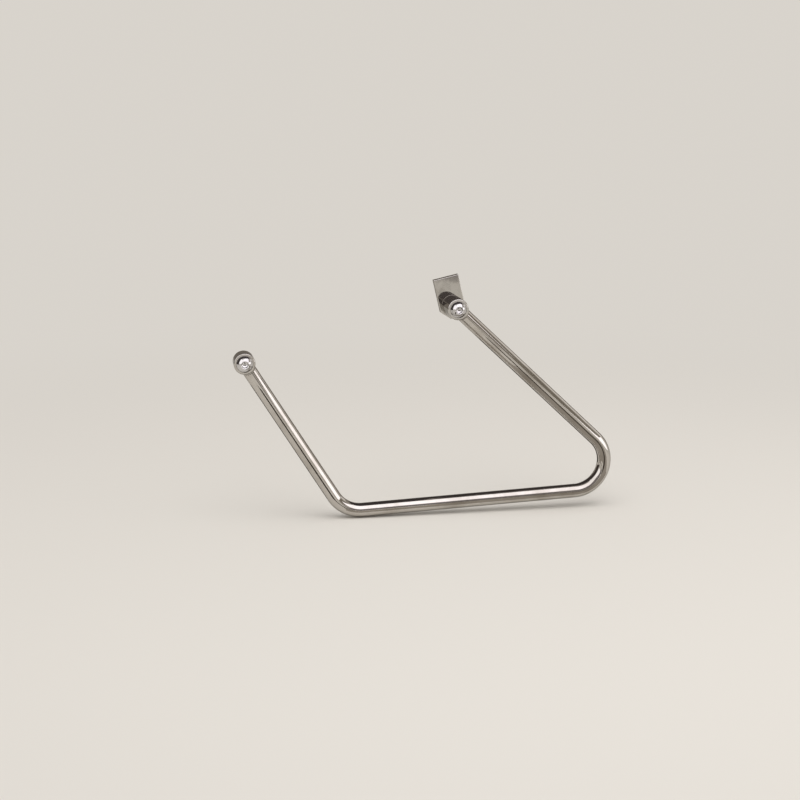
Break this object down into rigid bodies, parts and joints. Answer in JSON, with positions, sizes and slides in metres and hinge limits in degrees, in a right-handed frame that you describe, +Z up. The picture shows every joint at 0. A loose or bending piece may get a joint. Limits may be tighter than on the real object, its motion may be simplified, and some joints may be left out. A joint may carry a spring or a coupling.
{
  "type": "pannier frame",
  "caption": "Left-hand motorcycle pannier frame: a chrome bent tube loop with a bolted eye at each end, holding a saddlebag clear of the wheel.",
  "frame": {"origin": "on the front eye's axis, at its inner face, where the front screw leaves it towards the motorcycle", "axes": "+X towards the rear of the motorcycle, +Y inwards to the motorcycle along the screws, +Z up"},
  "size_m": [0.328, 0.0494, 0.2051],
  "materials": {
    "tube_chrome": "polished chrome plate on bent tube",
    "turned_chrome": "polished chrome plate on turned bar",
    "weld_chrome": "chrome plate over a fine weld ripple",
    "plate_chrome": "polished chrome plate on flat bar",
    "screw_steel": "polished stainless steel",
    "washer_steel": "zinc plated, stamped",
    "nut_steel": "zinc plated, machined",
    "nylon": "nylon locking ring"
  },
  "bodies": {
    "root": {"frame_tube": "tube_chrome", "front_eye": "turned_chrome", "rear_eye": "turned_chrome", "front_weld": "weld_chrome", "rear_weld": "weld_chrome", "hanger_tab": "plate_chrome", "front_screw": "screw_steel", "rear_screw": "screw_steel", "rear_washer": "washer_steel", "rear_nut": "nut_steel", "nut_ring": "nylon"}
  },
  "joints": []
}
